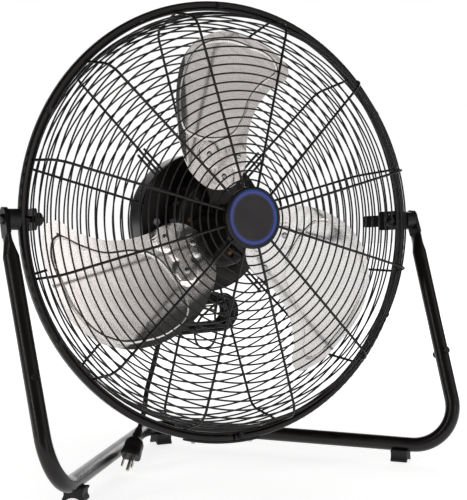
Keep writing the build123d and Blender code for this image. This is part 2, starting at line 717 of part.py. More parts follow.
def cord_tie():
    """Wire tie that hangs the hank's upper runs from a ring of the rear guard."""
    x = 14.0
    low, high = HANK_CENTRE[2] + 7.5, HANK_CENTRE[2] + 27.2
    near, far = 52.5, HANK_CENTRE[1] + 3 * CORD_STEP + 6.5
    outline = Plane(origin=(x, (near + far) / 2, (low + high) / 2), x_dir=(0, 1, 0), z_dir=(1, 0, 0))
    loop = (outline * RectangleRounded(far - near, high - low, 5)).face().outer_wire()
    return sweep(Plane(origin=loop @ 0, z_dir=loop % 0) * Circle(1.2), path=loop)


parts["cord_tie"] = UPRIGHT * cord_tie()


os.makedirs("parts", exist_ok=True)
for name, shape in parts.items():
    export_step(shape, f"parts/{name}.step")
everything = Compound([solid for name, shape in parts.items() if not name.startswith(("cord", "plug"))
                       for solid in shape.solids()]).bounding_box()
print("box without the cord", everything.min, everything.max)
print(len(parts), "nodes")
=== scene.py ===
import json
from math import atan2, copysign, cos, pi, radians, sin, sqrt, tan

import bmesh
import bpy
from mathutils import Matrix, Vector


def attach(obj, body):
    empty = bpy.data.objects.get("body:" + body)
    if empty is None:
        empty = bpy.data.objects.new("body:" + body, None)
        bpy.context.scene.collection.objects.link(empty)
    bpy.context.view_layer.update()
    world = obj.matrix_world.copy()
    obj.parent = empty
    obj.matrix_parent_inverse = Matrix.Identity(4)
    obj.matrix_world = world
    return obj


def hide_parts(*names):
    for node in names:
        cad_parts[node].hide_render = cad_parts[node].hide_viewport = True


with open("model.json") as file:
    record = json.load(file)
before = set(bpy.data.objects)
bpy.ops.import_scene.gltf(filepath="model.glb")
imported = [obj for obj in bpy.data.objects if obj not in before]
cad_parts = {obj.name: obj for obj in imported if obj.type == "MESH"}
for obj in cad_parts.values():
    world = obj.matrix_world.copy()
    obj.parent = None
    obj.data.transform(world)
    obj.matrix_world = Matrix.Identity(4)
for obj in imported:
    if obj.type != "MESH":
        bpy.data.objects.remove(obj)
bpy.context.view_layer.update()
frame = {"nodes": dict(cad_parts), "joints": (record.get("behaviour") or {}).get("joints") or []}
nodes = frame["nodes"]

# Camera: the photograph was taken from the fan's left, level with the hub, with a longish lens.
# The head turns about the pivot, and leans back at rest by the angle of the rotor's axis.
CAMERA_PLACE = Vector((-0.751, -1.3256, 0.0157))
CAMERA_ROLL = radians(-0.5)
joints = {joint["name"]: joint for joint in frame["joints"]}
PIVOT = Vector(joints["head_tilt"]["pos_m"])
UPRIGHT = Matrix.Translation(PIVOT)
FAN_AXIS = Vector(joints["rotor_spin"]["axis"])
HEAD = UPRIGHT @ Vector((0, -1, 0)).rotation_difference(FAN_AXIS).to_matrix().to_4x4()

camera = bpy.data.objects.new("camera", bpy.data.cameras.new("camera"))
bpy.context.scene.collection.objects.link(camera)
bpy.context.scene.camera = camera
camera.data.lens = 85.9
camera.data.shift_x = 0.011
camera.data.shift_y = -0.0601
camera.location = PIVOT + CAMERA_PLACE
camera_aim = (PIVOT - camera.location).normalized()
camera.rotation_mode = "QUATERNION"
camera_roll = Matrix.Rotation(CAMERA_ROLL, 4, camera_aim).to_quaternion()
camera.rotation_quaternion = camera_roll @ camera_aim.to_track_quat("-Z", "Y")


# Stand: a bent steel tube that lies on the floor and its two upper legs, bolted together.
# All of it is powder coated satin black. The coat has a fine orange peel, and cloudy patches
# where it is a little duller.
def new_group(name, inputs, outputs):
    tree = bpy.data.node_groups.new(name, "ShaderNodeTree")
    for label, default in inputs:
        socket = tree.interface.new_socket(label, in_out="INPUT", socket_type="NodeSocketFloat")
        socket.default_value = default
    for label in outputs:
        tree.interface.new_socket(label, in_out="OUTPUT", socket_type="NodeSocketFloat")
    return tree, tree.nodes.new("NodeGroupInput"), tree.nodes.new("NodeGroupOutput")


def coat_group():
    """Peel is the fine relief of a sprayed coat, and Cloud its slow changes of shade and gloss."""
    tree, given, result = new_group("coat_surface", [("Peel Scale", 900.0), ("Cloud Scale", 14.0)],
                                    ["Peel", "Cloud"])
    place = tree.nodes.new("ShaderNodeTexCoord")
    for label, socket, detail in (("Peel", "Peel Scale", 2.0), ("Cloud", "Cloud Scale", 5.0)):
        noise = tree.nodes.new("ShaderNodeTexNoise")
        noise.inputs["Detail"].default_value = detail
        tree.links.new(place.outputs["Object"], noise.inputs["Vector"])
        tree.links.new(given.outputs[socket], noise.inputs["Scale"])
        tree.links.new(noise.outputs["Fac"], result.inputs[label])
    return tree


COAT = coat_group()


def coated(name, dark, light, roughness, peel, metallic=0.0, cloud_scale=14.0):
    """A coated or moulded finish. Roughness is its least and most, peel the relief's scale and depth."""
    material = bpy.data.materials.new(name)
    material.use_nodes = True
    tree = material.node_tree
    bsdf = tree.nodes["Principled BSDF"]
    bsdf.inputs["Metallic"].default_value = metallic
    bsdf.inputs["Specular IOR Level"].default_value = 0.5 if metallic else 0.32
    coat = tree.nodes.new("ShaderNodeGroup")
    coat.node_tree = COAT
    coat.inputs["Peel Scale"].default_value = peel[0]
    coat.inputs["Cloud Scale"].default_value = cloud_scale
    shade = tree.nodes.new("ShaderNodeMix")
    shade.data_type = "RGBA"
    shade.inputs["A"].default_value = (*dark, 1)
    shade.inputs["B"].default_value = (*light, 1)
    tree.links.new(coat.outputs["Cloud"], shade.inputs["Factor"])
    tree.links.new(shade.outputs["Result"], bsdf.inputs["Base Color"])
    gloss = tree.nodes.new("ShaderNodeMapRange")
    gloss.inputs["From Min"].default_value = 0.3
    gloss.inputs["From Max"].default_value = 0.7
    gloss.inputs["To Min"].default_value = roughness[0]
    gloss.inputs["To Max"].default_value = roughness[1]
    tree.links.new(coat.outputs["Cloud"], gloss.inputs["Value"])
    tree.links.new(gloss.outputs["Result"], bsdf.inputs["Roughness"])
    relief = tree.nodes.new("ShaderNodeBump")
    relief.inputs["Distance"].default_value = peel[1]
    relief.inputs["Strength"].default_value = 0.6
    tree.links.new(coat.outputs["Peel"], relief.inputs["Height"])
    tree.links.new(relief.outputs["Normal"], bsdf.inputs["Normal"])
    return material


def dress(material, *names):
    """Puts a finish on parts of the frame that keep their own shape."""
    for name in names:
        nodes[name].data.materials.clear()
        nodes[name].data.materials.append(material)


powder_coat = coated("powder_coat", (0.0046, 0.0034, 0.0031), (0.0088, 0.0068, 0.0062),
                     roughness=(0.24, 0.36), peel=(900, 0.00006))
dress(powder_coat, "base_tube", "upper_leg_left", "upper_leg_right", "leg_bolt_left", "leg_bolt_right",
      "pivot_nut_left", "pivot_nut_right")


# Feet: three saddles moulded in matt black rubber, pressed up against the underside of the tube.
# The fan stands on them alone.
foot_rubber = coated("foot_rubber", (0.010, 0.010, 0.010), (0.022, 0.022, 0.022),
                     roughness=(0.62, 0.78), peel=(500, 0.0003))
dress(foot_rubber, "foot_front_left", "foot_front_right", "foot_rear")


# Pivot hardware: a steel bolt through the top of each leg and the rim, plated with black zinc.
# A spacer moulded in black plastic keeps the leg off the rim, and a nut inside the cage clamps it.
black_zinc = coated("black_zinc", (0.03, 0.032, 0.036), (0.06, 0.063, 0.07),
                    roughness=(0.18, 0.28), peel=(1500, 0.00005), metallic=1.0)
moulded_black = coated("moulded_black", (0.006, 0.0056, 0.0056), (0.011, 0.0105, 0.0105),
                       roughness=(0.40, 0.52), peel=(1200, 0.0001))
dress(black_zinc, "pivot_bolt_left", "pivot_bolt_right")
dress(moulded_black, "pivot_spacer_left", "pivot_spacer_right")


# Rim: a steel channel rolled into a hoop and closed with a strap, with clips that hold the guards.
# It has the same black coat as the stand. The screws of the strap are bright zinc plated steel.
zinc_plate = coated("zinc_plate", (0.52, 0.52, 0.54), (0.68, 0.68, 0.69),
                    roughness=(0.22, 0.34), peel=(1500, 0.00005), metallic=1.0)
dress(powder_coat, "rim_band", "rim_joint_strap", "rim_clips", "pivot_bracket_left", "pivot_bracket_right")
dress(zinc_plate, "rim_joint_screws")


# Guards: twelve ribs of round steel wire with rings of thinner wire inside, spot welded and coated black.
# One tree lays the rings along a rib's line, then turns the rib round the fan's axis. The edge ring of each
# guard comes in two halves that stop short of the pivot bolts.
MM = 0.001
RIB_COUNT = 12
FIRST_RIB = radians(15)
RIB_RADIUS = 1.65 * MM
RING_RADIUS = 1.1 * MM
FRONT_RING_PITCH = 11.15 * MM
FRONT_FIRST_RING = 8.25 * MM
REAR_RING_PITCH = 11.1 * MM
REAR_FIRST_RING = 14.65 * MM
EDGE_RING_RADIUS = 1.8 * MM
EDGE_RING_SIZE = 270.2 * MM
EDGE_RING_DEPTH = 2.3 * MM
EDGE_GAP = radians(1)
FRONT_RIB = ((269.55, -0.4), (256.5, -47.5), (30.0, -58.9))
FRONT_BEND = 22.0
FRONT_RING_COUNT = 23
REAR_RIB = ((269.55, 0.4), (256.0, 61.0), (78.0, 66.0))
REAR_BEND = 16.0
REAR_RING_COUNT = 18
BEND_STEPS = 14
RIB_SIDES = 12
RING_SIDES = 8
RING_POINTS = 144
EDGE_POINTS = 72


def rib_line(name, start, corner, centre, bend):
    """A straight side, a round bend and a straight face, drawn in the plane of one rib."""
    start, corner, centre = (Vector((*point, 0)) * MM for point in (start, corner, centre))
    bend *= MM
    side, face = (corner - start).normalized(), (centre - corner).normalized()
    turn = side.angle(face)
    reach = bend * tan(turn / 2)
    inward = (face - side * side.dot(face)).normalized()
    hinge = corner - side * reach + inward * bend
    points = [start]
    for k in range(BEND_STEPS + 1):
        angle = turn * k / BEND_STEPS
        points.append(hinge - inward * bend * cos(angle) + side * bend * sin(angle))
    points.append(centre)
    curve = bpy.data.curves.new(name, "CURVE")
    curve.dimensions = "3D"
    spline = curve.splines.new("POLY")
    spline.points.add(len(points) - 1)
    for spot, point in zip(spline.points, points):
        spot.co = (*point, 1)
    line = bpy.data.objects.new(name, curve)
    bpy.context.scene.collection.objects.link(line)
    return line


def add_node(tree, kind, values=(), **settings):
    node = tree.nodes.new(kind)
    for key, value in settings.items():
        setattr(node, key, value)
    for key, value in dict(values).items():
        if hasattr(value, "is_output"):
            tree.links.new(value, node.inputs[key])
        else:
            node.inputs[key].default_value = value
    return node


def guard_tree():
    """Inputs: the rib's line, the number and wire of ribs and rings, the first ring's place, the finish."""
    tree = bpy.data.node_groups.new("wire_guard", "GeometryNodeTree")
    kinds = {"Rib Line": "Geometry", "Rib Count": "Int", "First Rib": "Float", "Rib Radius": "Float",
             "Ring Count": "Int", "First Ring": "Float", "Ring Pitch": "Float", "Ring Radius": "Float",
             "Inward": "Float", "Edge Size": "Float", "Edge Depth": "Float", "Edge Radius": "Float",
             "Finish": "Material"}
    for label, kind in kinds.items():
        tree.interface.new_socket(label, in_out="INPUT", socket_type="NodeSocket" + kind)
    tree.interface.new_socket("Guard", in_out="OUTPUT", socket_type="NodeSocketGeometry")
    given = tree.nodes.new("NodeGroupInput").outputs

    def math(operation, a, b):
        return add_node(tree, "ShaderNodeMath", {0: a, 1: b}, operation=operation).outputs[0]

    def wire(curve, radius, sides, caps):
        section = add_node(tree, "GeometryNodeCurvePrimitiveCircle", {"Resolution": sides, "Radius": radius})
        skin = {"Curve": curve, "Profile Curve": section.outputs["Curve"], "Fill Caps": caps}
        return add_node(tree, "GeometryNodeCurveToMesh", skin).outputs["Mesh"]

    def turned_round(geometry, count, first):
        spots = add_node(tree, "GeometryNodePoints", {"Count": count})
        index = add_node(tree, "GeometryNodeInputIndex")
        step = math("DIVIDE", 2 * pi, count)
        angle = math("ADD", first, math("MULTIPLY", index.outputs["Index"], step))
        turn = add_node(tree, "ShaderNodeCombineXYZ", {"Y": math("MULTIPLY", angle, -1.0)})
        spin = add_node(tree, "FunctionNodeEulerToRotation", {"Euler": turn.outputs["Vector"]})
        placed = add_node(tree, "GeometryNodeInstanceOnPoints",
                          {"Points": spots.outputs["Points"], "Instance": geometry,
                           "Rotation": spin.outputs["Rotation"]}).outputs["Instances"]
        return add_node(tree, "GeometryNodeRealizeInstances", {"Geometry": placed}).outputs["Geometry"]

    one_rib = wire(given["Rib Line"], given["Rib Radius"], RIB_SIDES, True)
    ribs = turned_round(one_rib, given["Rib Count"], given["First Rib"])

    span = math("MULTIPLY", math("SUBTRACT", given["Ring Count"], 1), given["Ring Pitch"])
    trimmed = add_node(tree, "GeometryNodeTrimCurve", mode="LENGTH")
    tree.links.new(given["Rib Line"], trimmed.inputs["Curve"])
    starts = [socket for socket in trimmed.inputs if socket.name == "Start" and socket.enabled]
    ends = [socket for socket in trimmed.inputs if socket.name == "End" and socket.enabled]
    tree.links.new(given["First Ring"], starts[-1])
    tree.links.new(math("ADD", given["First Ring"], span), ends[-1])
    spaced = add_node(tree, "GeometryNodeResampleCurve", {"Curve": trimmed.outputs["Curve"],
                                                          "Count": given["Ring Count"]})
    here = add_node(tree, "GeometryNodeInputPosition")
    along = add_node(tree, "GeometryNodeInputTangent")
    square = add_node(tree, "ShaderNodeVectorMath", {0: along.outputs["Tangent"], 1: (0, 0, 1)},
                      operation="CROSS_PRODUCT")
    inset = math("MULTIPLY", given["Inward"], math("ADD", given["Rib Radius"], given["Ring Radius"]))
    step_in = add_node(tree, "ShaderNodeVectorMath", {0: square.outputs["Vector"], "Scale": inset},
                       operation="SCALE")
    inside = add_node(tree, "ShaderNodeVectorMath",
                      {0: here.outputs["Position"], 1: step_in.outputs["Vector"]}, operation="ADD")
    kept = add_node(tree, "GeometryNodeCaptureAttribute")
    kept.capture_items.new("VECTOR", "Spot")
    tree.links.new(spaced.outputs["Curve"], kept.inputs["Geometry"])
    tree.links.new(inside.outputs["Vector"], kept.inputs["Spot"])
    spot = add_node(tree, "ShaderNodeSeparateXYZ", {"Vector": kept.outputs["Spot"]})
    centre = add_node(tree, "ShaderNodeCombineXYZ", {"Y": spot.outputs["Y"]})
    on_axis = add_node(tree, "GeometryNodeSetPosition", {"Geometry": kept.outputs["Geometry"],
                                                         "Position": centre.outputs["Vector"]})
    hoop = add_node(tree, "GeometryNodeCurvePrimitiveCircle", {"Resolution": RING_POINTS, "Radius": 1.0})
    upright = add_node(tree, "GeometryNodeTransform",
                       {"Geometry": hoop.outputs["Curve"], "Rotation": (pi / 2, 0, 0)})
    size = add_node(tree, "ShaderNodeCombineXYZ", {axis: spot.outputs["X"] for axis in "XYZ"})
    hoops = add_node(tree, "GeometryNodeInstanceOnPoints",
                     {"Points": on_axis.outputs["Geometry"], "Instance": upright.outputs["Geometry"],
                      "Scale": size.outputs["Vector"]})
    loose = add_node(tree, "GeometryNodeRealizeInstances", {"Geometry": hoops.outputs["Instances"]})
    rings = wire(loose.outputs["Geometry"], given["Ring Radius"], RING_SIDES, False)

    half = add_node(tree, "GeometryNodeCurveArc",
                    {"Resolution": EDGE_POINTS, "Radius": given["Edge Size"],
                     "Start Angle": EDGE_GAP, "Sweep Angle": pi - 2 * EDGE_GAP})
    drop = add_node(tree, "ShaderNodeCombineXYZ", {"Y": given["Edge Depth"]})
    half = add_node(tree, "GeometryNodeTransform",
                    {"Geometry": half.outputs["Curve"], "Translation": drop.outputs["Vector"],
                     "Rotation": (pi / 2, 0, 0)})
    edge = turned_round(wire(half.outputs["Geometry"], given["Edge Radius"], RING_SIDES, True), 2, 0.0)

    whole = add_node(tree, "GeometryNodeJoinGeometry")
    for piece in (edge, rings, ribs):
        tree.links.new(piece, whole.inputs["Geometry"])
    smooth = add_node(tree, "GeometryNodeSetShadeSmooth", {"Geometry": whole.outputs["Geometry"]})
    painted = add_node(tree, "GeometryNodeSetMaterial", {"Geometry": smooth.outputs["Geometry"],
                                                         "Material": given["Finish"]})
    result = tree.nodes.new("NodeGroupOutput")
    tree.links.new(painted.outputs["Geometry"], result.inputs["Guard"])
    return tree


def grown(base, tree, name, place, **values):
    """Runs a tree on an object and keeps what it makes as a plain mesh, placed in the fan's frame."""
    modifier = base.modifiers.new(tree.name, "NODES")
    modifier.node_group = tree
    for item in tree.interface.items_tree:
        label = item.name.replace(" ", "_").lower()
        if item.in_out == "INPUT" and label in values:
            modifier[item.identifier] = values[label]
    shown = base.evaluated_get(bpy.context.evaluated_depsgraph_get())
    mesh = bpy.data.meshes.new_from_object(shown)
    base.modifiers.remove(modifier)
    bpy.data.objects.remove(base)
    mesh.name = name
    mesh.transform(place)
    piece = bpy.data.objects.new(name, mesh)
    bpy.context.scene.collection.objects.link(piece)
    return piece


wire_coat = coated("wire_coat", (0.0044, 0.0032, 0.0029), (0.0078, 0.0061, 0.0056),
                   roughness=(0.30, 0.42), peel=(1400, 0.00005))
guard_wires = guard_tree()
shared = dict(rib_count=RIB_COUNT, first_rib=FIRST_RIB, rib_radius=RIB_RADIUS, ring_radius=RING_RADIUS,
              edge_size=EDGE_RING_SIZE, edge_radius=EDGE_RING_RADIUS, finish=wire_coat)

front_line = rib_line("front_rib", *FRONT_RIB, FRONT_BEND)
front_wires = grown(front_line, guard_wires, "front_wires", HEAD, ring_count=FRONT_RING_COUNT,
                    ring_pitch=FRONT_RING_PITCH, first_ring=FRONT_FIRST_RING, inward=1.0,
                    edge_depth=-EDGE_RING_DEPTH, **shared)
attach(front_wires, "head")
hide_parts("front_guard")

rear_line = rib_line("rear_rib", *REAR_RIB, REAR_BEND)
rear_wires = grown(rear_line, guard_wires, "rear_wires", HEAD, ring_count=REAR_RING_COUNT,
                   ring_pitch=REAR_RING_PITCH, first_ring=REAR_FIRST_RING, inward=-1.0,
                   edge_depth=EDGE_RING_DEPTH, **shared)
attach(rear_wires, "head")
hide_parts("rear_guard")
dress(wire_coat, "motor_stays")


# Motor: a pressed steel shell on a plate, with a vented cover behind, all coated black and bolted together.
# The stacked steel and copper windings of the stator show through the openings. The speed knob, its switch
# and the gland of the cord are moulded in black plastic.
dress(powder_coat, "motor_plate", "motor_shell", "motor_rear_cover", "guard_hub_plate")
dress(zinc_plate, "motor_bolts")


def striped(name, dark, light, axis, scale, roughness, metallic):
    """A finish with fine lines across one axis: laminations, windings or tool marks."""
    material = coated(name, dark, light, roughness, (800, 0.0004), metallic=metallic, cloud_scale=30)
    tree = material.node_tree
    place = tree.nodes.new("ShaderNodeTexCoord")
    lines = tree.nodes.new("ShaderNodeTexWave")
    lines.bands_direction = axis
    lines.inputs["Scale"].default_value = scale
    lines.inputs["Distortion"].default_value = 0.6
    tree.links.new(place.outputs["Object"], lines.inputs["Vector"])
    tree.links.new(lines.outputs["Fac"], tree.nodes["Bump"].inputs["Height"])
    return material


stacked_steel = striped("stacked_steel", (0.10, 0.10, 0.10), (0.2, 0.2, 0.21), axis="Y", scale=320,
                        roughness=(0.4, 0.55), metallic=0.8)
copper_windings = striped("copper_windings", (0.22, 0.12, 0.04), (0.38, 0.24, 0.08), axis="X", scale=260,
                          roughness=(0.28, 0.42), metallic=0.6)
turned_steel = striped("turned_steel", (0.36, 0.36, 0.37), (0.5, 0.5, 0.51), axis="Y", scale=500,
                       roughness=(0.24, 0.36), metallic=1.0)
dress(stacked_steel, "stator_core", "rotor_core")
dress(copper_windings, "stator_windings")
dress(turned_steel, "rotor_shaft", "bearing_front", "bearing_rear")
dress(moulded_black, "switch_body", "speed_knob", "cord_gland")


# Rotor: three blades stamped from aluminium sheet on a black steel spider, held on the shaft by a zinc nut.
# Each is pitched, curls forward along one edge, and has a bead pressed round its face and a rivet pad.
BLADE_EDGE = ((24, 51), (37, 73), (39, 97), (55, 143), (82, 174), (116, 200), (98, 222), (58, 238),
              (12, 245), (-21, 238), (-48, 223), (-75, 186), (-83, 125), (-64, 70), (-40, 46), (-6, 39))
BLADE_BEAD = ((-48, 106), (-68, 115), (-75, 142), (-67, 180), (-43, 216), (0, 232), (50, 228), (88, 215),
              (95, 203), (72, 185), (48, 163), (31, 130), (15, 112), (-18, 104))
BLADE_MIDDLE = Vector((-5, 158))
BLADE_PITCH = radians(12.7)
BLADE_PLANE = 7.0
BLADE_THICKNESS = 1.5
BLADE_CAMBER = 1500.0
CURL_START = -60.0
CURL_RADIUS = 55.0
BEAD_HEIGHT = 0.9
BEAD_HALF_WIDTH = 2.3
BEAD_MARGIN = 0.4
PAD_HEIGHT = 0.7
PAD_RADIUS = 17.0
PAD_BLEND = 1.4
PAD_MIDDLE = Vector((-1, 74))
SHEET_SIZE = 250.0
RIVET_SPOTS = ((-26, 83.5), (24, 83.5), (-1, 56))


def reach_by_angle(points, name, count):
    """How far a smooth closed curve through the points lies from the blade's middle, at even angles."""
    curve = bpy.data.curves.new(name, "CURVE")
    curve.resolution_u = 24
    spline = curve.splines.new("BEZIER")
    spline.bezier_points.add(len(points) - 1)
    spline.use_cyclic_u = True
    for knot, (across, outwards) in zip(spline.bezier_points, points):
        knot.co = (across, outwards, 0)
        knot.handle_left_type = knot.handle_right_type = "AUTO"
    holder = bpy.data.objects.new(name, curve)
    bpy.context.scene.collection.objects.link(holder)
    mesh = bpy.data.meshes.new_from_object(holder.evaluated_get(bpy.context.evaluated_depsgraph_get()))
    spokes = [vertex.co.xy - BLADE_MIDDLE for vertex in mesh.vertices]
    polar = sorted((atan2(spoke.y, spoke.x), spoke.length) for spoke in spokes)
    polar = [(polar[-1][0] - 2 * pi, polar[-1][1]), *polar, (polar[0][0] + 2 * pi, polar[0][1])]
    bpy.data.objects.remove(holder)
    bpy.data.meshes.remove(mesh)
    reaches = []
    spot = 0
    for k in range(count):
        angle = -pi + 2 * pi * k / count
        while polar[spot + 1][0] < angle:
            spot += 1
        (before, near), (after, far) = polar[spot], polar[spot + 1]
        reaches.append(near + (far - near) * (angle - before) / (after - before))
    return reaches


def ease(value, low, high):
    t = min(max((value - low) / (high - low), 0.0), 1.0)
    return t * t * (3 - 2 * t)


def pad_height(across, outwards):
    """The raised pad: a round one under each rivet, joined by one in the middle."""
    spot = Vector((across, outwards))
    nearest = min((spot - Vector(rivet)).length for rivet in RIVET_SPOTS)
    nearest = min(nearest, (spot - PAD_MIDDLE).length + 1)
    return PAD_HEIGHT * (1 - ease(nearest, PAD_RADIUS - PAD_BLEND, PAD_RADIUS + PAD_BLEND))


def on_blade(across, outwards, depth):
    """A point of the top blade in the head's frame, from its place on the flat sheet and its depth behind."""
    depth -= across ** 2 / (2 * BLADE_CAMBER)
    past = max(CURL_START - across, 0.0)
    depth -= CURL_RADIUS - sqrt(CURL_RADIUS ** 2 - past ** 2)
    x = across * cos(BLADE_PITCH) - depth * sin(BLADE_PITCH)
    y = across * sin(BLADE_PITCH) + depth * cos(BLADE_PITCH) + BLADE_PLANE
    return Vector((x, y, outwards)) * MM


def blade_mesh(name):
    """Rings of points from the blade's middle over the bead to the edge, on the front and on the back."""
    count = 216
    edge = reach_by_angle(BLADE_EDGE, "blade_edge", count)
    bead = reach_by_angle(BLADE_BEAD, "blade_bead", count)
    face_steps, bead_steps, border_steps = 8, 8, 26
    rings = []
    for k in range(count):
        slant = (bead[(k + 1) % count] - bead[k - 1]) / (2 * bead[k] * 2 * pi / count)
        widen = sqrt(1 + slant ** 2)
        half = BEAD_HALF_WIDTH * widen
        flat_end = bead[k] - (BEAD_HALF_WIDTH + BEAD_MARGIN) * widen
        line = [(flat_end * i / face_steps, 0.0) for i in range(1, face_steps + 1)]
        for i in range(bead_steps + 1):
            t = 2 * i / bead_steps - 1
            line.append((bead[k] + half * t, BEAD_HEIGHT * cos(t * pi / 2) ** 2))
        start = bead[k] + half + BEAD_MARGIN * widen
        line += [(start + (edge[k] - start) * i / border_steps, 0.0) for i in range(border_steps + 1)]
        rings.append(line)
    loops = len(rings[0])
    points, flat = [], []
    for side in (0, 1):
        for j in range(loops):
            for k in range(count):
                angle = -pi + 2 * pi * k / count
                reach, bump = rings[k][j]
                across = BLADE_MIDDLE.x + reach * cos(angle)
                outwards = BLADE_MIDDLE.y + reach * sin(angle)
                rise = max(bump, pad_height(across, outwards))
                points.append(on_blade(across, outwards, side * BLADE_THICKNESS - rise))
                flat.append((across, outwards))
        points.append(on_blade(*BLADE_MIDDLE, side * BLADE_THICKNESS))
        flat.append(tuple(BLADE_MIDDLE))
    layer = loops * count + 1
    faces = []
    for k in range(count):
        m = (k + 1) % count
        faces += [(layer - 1, k, m), (2 * layer - 1, layer + m, layer + k)]
        for j in range(loops - 1):
            a, b, c, d = j * count + k, j * count + m, (j + 1) * count + m, (j + 1) * count + k
            faces += [(d, c, b, a), (layer + a, layer + b, layer + c, layer + d)]
        last = (loops - 1) * count
        faces.append((last + m, last + k, layer + last + k, layer + last + m))
    mesh = bpy.data.meshes.new(name)
    mesh.from_pydata(points, [], faces)
    sheet = mesh.uv_layers.new(name="sheet")
    for corner in mesh.loops:
        across, outwards = flat[corner.vertex_index]
        sheet.data[corner.index].uv = (across / SHEET_SIZE + 0.5, outwards / SHEET_SIZE)
    mesh.shade_smooth()
    mesh.set_sharp_from_angle(angle=radians(50))
    return mesh


def aluminium():
    """Bright rolled sheet: faint lines across the blade that stretch its gloss, and slow pressed waves."""
    material = bpy.data.materials.new("blade_sheet")
    material.use_nodes = True
    tree = material.node_tree
    bsdf = tree.nodes["Principled BSDF"]
    bsdf.inputs["Metallic"].default_value = 1.0
    bsdf.inputs["Anisotropic"].default_value = 0.9
    bsdf.inputs["Anisotropic Rotation"].default_value = 0.25
    across = tree.nodes.new("ShaderNodeTangent")
    across.direction_type = "UV_MAP"
    across.uv_map = "sheet"
    tree.links.new(across.outputs["Tangent"], bsdf.inputs["Tangent"])
    place = tree.nodes.new("ShaderNodeUVMap")
    place.uv_map = "sheet"
    stretch = tree.nodes.new("ShaderNodeMapping")
    stretch.inputs["Scale"].default_value = (1.2, 26, 1)
    tree.links.new(place.outputs["UV"], stretch.inputs["Vector"])
    grain = tree.nodes.new("ShaderNodeTexNoise")
    grain.inputs["Scale"].default_value = 1.5
    grain.inputs["Detail"].default_value = 3.0
    tree.links.new(stretch.outputs["Vector"], grain.inputs["Vector"])
    wave = tree.nodes.new("ShaderNodeTexNoise")
    wave.inputs["Scale"].default_value = 3.5
    wave.inputs["Detail"].default_value = 1.0
    tree.links.new(place.outputs["UV"], wave.inputs["Vector"])
    shade = tree.nodes.new("ShaderNodeMix")
    shade.data_type = "RGBA"
    shade.inputs["A"].default_value = (0.66, 0.64, 0.625, 1)
    shade.inputs["B"].default_value = (0.78, 0.765, 0.755, 1)
    tree.links.new(grain.outputs["Fac"], shade.inputs["Factor"])
    tree.links.new(shade.outputs["Result"], bsdf.inputs["Base Color"])
    gloss = tree.nodes.new("ShaderNodeMapRange")
    gloss.inputs["From Min"].default_value = 0.3
    gloss.inputs["From Max"].default_value = 0.7
    gloss.inputs["To Min"].default_value = 0.13
    gloss.inputs["To Max"].default_value = 0.16
    tree.links.new(wave.outputs["Fac"], gloss.inputs["Value"])
    tree.links.new(gloss.outputs["Result"], bsdf.inputs["Roughness"])
    relief = tree.nodes.new("ShaderNodeBump")
    relief.inputs["Distance"].default_value = 0.0004
    relief.inputs["Strength"].default_value = 0.2
    tree.links.new(wave.outputs["Fac"], relief.inputs["Height"])
    tree.links.new(relief.outputs["Normal"], bsdf.inputs["Normal"])
    return material


blade_sheet = aluminium()
for number in (1, 2, 3):
    mesh = blade_mesh(f"blade_sheet_{number}")
    mesh.materials.append(blade_sheet)
    mesh.transform(HEAD @ Matrix.Rotation(-2 * pi * (number - 1) / 3, 4, "Y"))
    piece = bpy.data.objects.new(f"blade_sheet_{number}", mesh)
    bpy.context.scene.collection.objects.link(piece)
    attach(piece, "rotor")
    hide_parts(f"blade_{number}")
dress(powder_coat, "hub_spider")
dress(zinc_plate, "hub_nut")


# Rivets: plated steel with domed heads, three to a blade, through its pad and an arm of the spider.
# One tree sets a head on each spot, square to the sheet that it holds.
RIVET_HEAD_RADIUS = 4.2 * MM
RIVET_HEAD_HEIGHT = 2.0 * MM
RIVET_DEPTH = 3.0


def dome_tree():
    """Inputs: the spots with the way each one faces, the head's size, and the finish."""
    tree = bpy.data.node_groups.new("rivet_heads", "GeometryNodeTree")
    kinds = {"Spots": "Geometry", "Head Radius": "Float", "Head Height": "Float", "Finish": "Material"}
    for label, kind in kinds.items():
        tree.interface.new_socket(label, in_out="INPUT", socket_type="NodeSocket" + kind)
    tree.interface.new_socket("Rivets", in_out="OUTPUT", socket_type="NodeSocketGeometry")
    given = tree.nodes.new("NodeGroupInput").outputs
    ball = add_node(tree, "GeometryNodeMeshUVSphere", {"Segments": 20, "Rings": 12, "Radius": 1.0})
    size = add_node(tree, "ShaderNodeCombineXYZ", {"X": given["Head Radius"], "Y": given["Head Radius"],
                                                   "Z": given["Head Height"]})
    facing = add_node(tree, "GeometryNodeInputNamedAttribute", {"Name": "facing"}, data_type="FLOAT_VECTOR")
    aim = add_node(tree, "FunctionNodeAlignRotationToVector", {"Vector": facing.outputs["Attribute"]},
                   axis="Z")
    heads = add_node(tree, "GeometryNodeInstanceOnPoints",
                     {"Points": given["Spots"], "Instance": ball.outputs["Mesh"],
                      "Rotation": aim.outputs["Rotation"], "Scale": size.outputs["Vector"]})
    whole = add_node(tree, "GeometryNodeRealizeInstances", {"Geometry": heads.outputs["Instances"]})
    smooth = add_node(tree, "GeometryNodeSetShadeSmooth", {"Geometry": whole.outputs["Geometry"]})
    painted = add_node(tree, "GeometryNodeSetMaterial", {"Geometry": smooth.outputs["Geometry"],
                                                         "Material": given["Finish"]})
    result = tree.nodes.new("NodeGroupOutput")
    tree.links.new(painted.outputs["Geometry"], result.inputs["Rivets"])
    return tree


